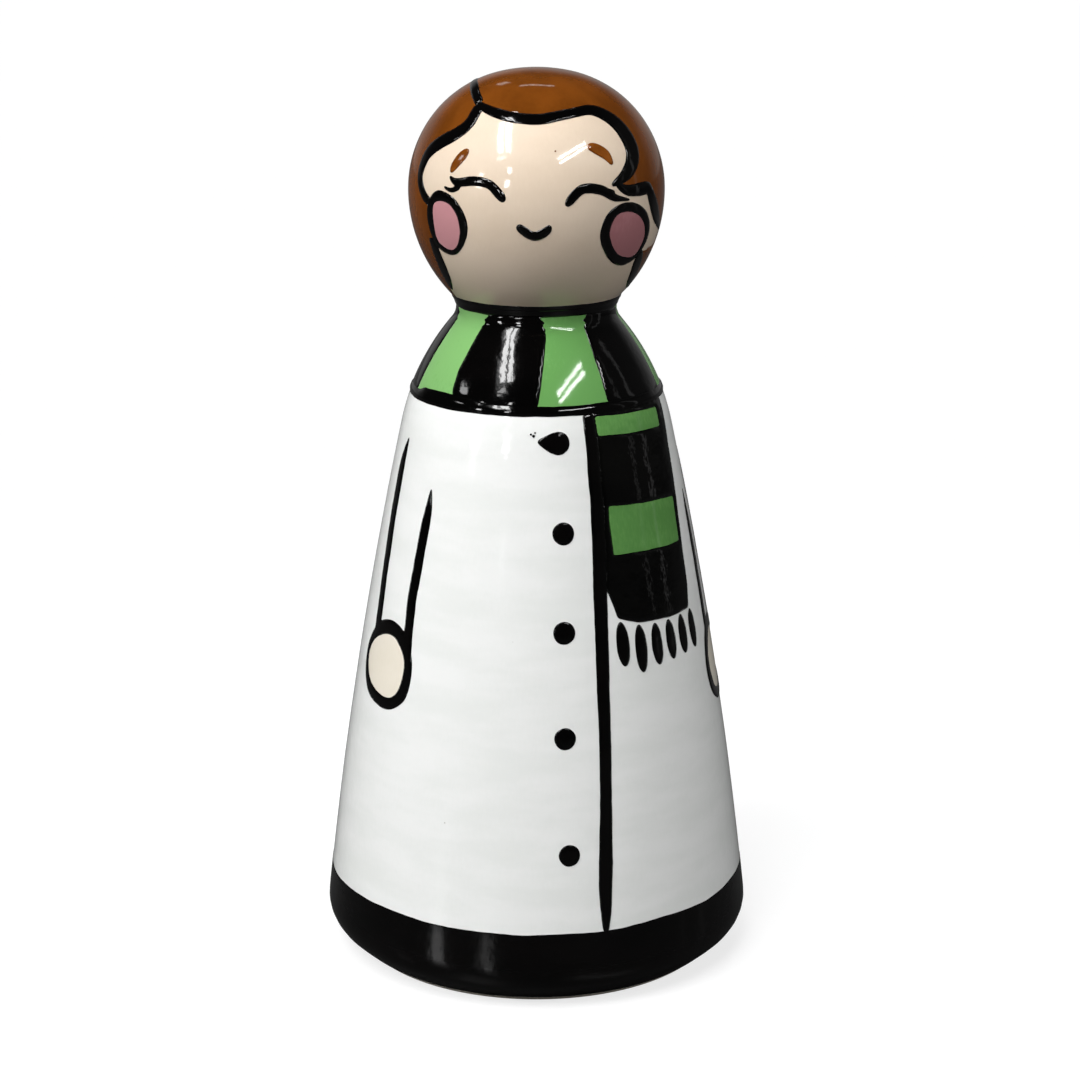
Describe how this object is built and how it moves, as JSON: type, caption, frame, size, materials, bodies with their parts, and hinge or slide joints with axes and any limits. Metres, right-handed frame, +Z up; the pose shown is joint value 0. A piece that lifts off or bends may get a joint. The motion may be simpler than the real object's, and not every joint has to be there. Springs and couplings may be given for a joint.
{
  "type": "peg doll",
  "caption": "Hollow glazed earthenware peg doll: round head, narrow neck and flared body, painted with a face, bobbed hair, striped scarf and buttoned coat.",
  "frame": {"origin": "centre of the foot, on the table", "axes": "+Z up along the turned axis, the face looks along -Y, +X to the viewer's right"},
  "size_m": [0.088, 0.088, 0.18],
  "materials": {
    "bisque_clay": "matt fired clay",
    "white_glaze": "glossy brushed glaze",
    "black_glaze": "glossy brushed glaze",
    "green_glaze": "glossy brushed glaze",
    "skin_glaze": "glossy brushed glaze",
    "hair_glaze": "glossy streaky glaze",
    "brow_glaze": "glossy brushed glaze",
    "pink_glaze": "glossy brushed glaze"
  },
  "bodies": {
    "root": {"bisque_body": "bisque_clay", "button_1": "black_glaze", "button_2": "black_glaze", "button_3": "black_glaze", "button_4": "black_glaze", "button_5": "black_glaze", "coat": "white_glaze", "coat_front_line": "black_glaze", "face": "skin_glaze", "fringe_1": "black_glaze", "fringe_2": "black_glaze", "fringe_3": "black_glaze", "fringe_4": "black_glaze", "fringe_5": "black_glaze", "fringe_6": "black_glaze", "hair": "hair_glaze", "hair_parting": "black_glaze", "hairline": "black_glaze", "hem_band": "black_glaze", "left_arm_line": "black_glaze", "left_brow": "brow_glaze", "left_cheek": "pink_glaze", "left_cheek_ring": "black_glaze", "left_eye": "black_glaze", "left_hand": "skin_glaze", "left_jaw_line": "black_glaze", "mouth": "black_glaze", "right_arm_line": "black_glaze", "right_brow": "brow_glaze", "right_cheek": "pink_glaze", "right_cheek_ring": "black_glaze", "right_eye": "black_glaze", "right_hand": "skin_glaze", "right_jaw_line": "black_glaze", "scarf_low_line": "black_glaze", "scarf_stripe_1": "black_glaze", "scarf_stripe_2": "black_glaze", "scarf_stripe_3": "black_glaze", "scarf_stripe_4": "black_glaze", "scarf_stripe_5": "black_glaze", "scarf_tail": "black_glaze", "scarf_tail_bar_1": "green_glaze", "scarf_tail_bar_2": "green_glaze", "scarf_top_line": "black_glaze", "scarf_wrap": "green_glaze"}
  },
  "joints": []
}
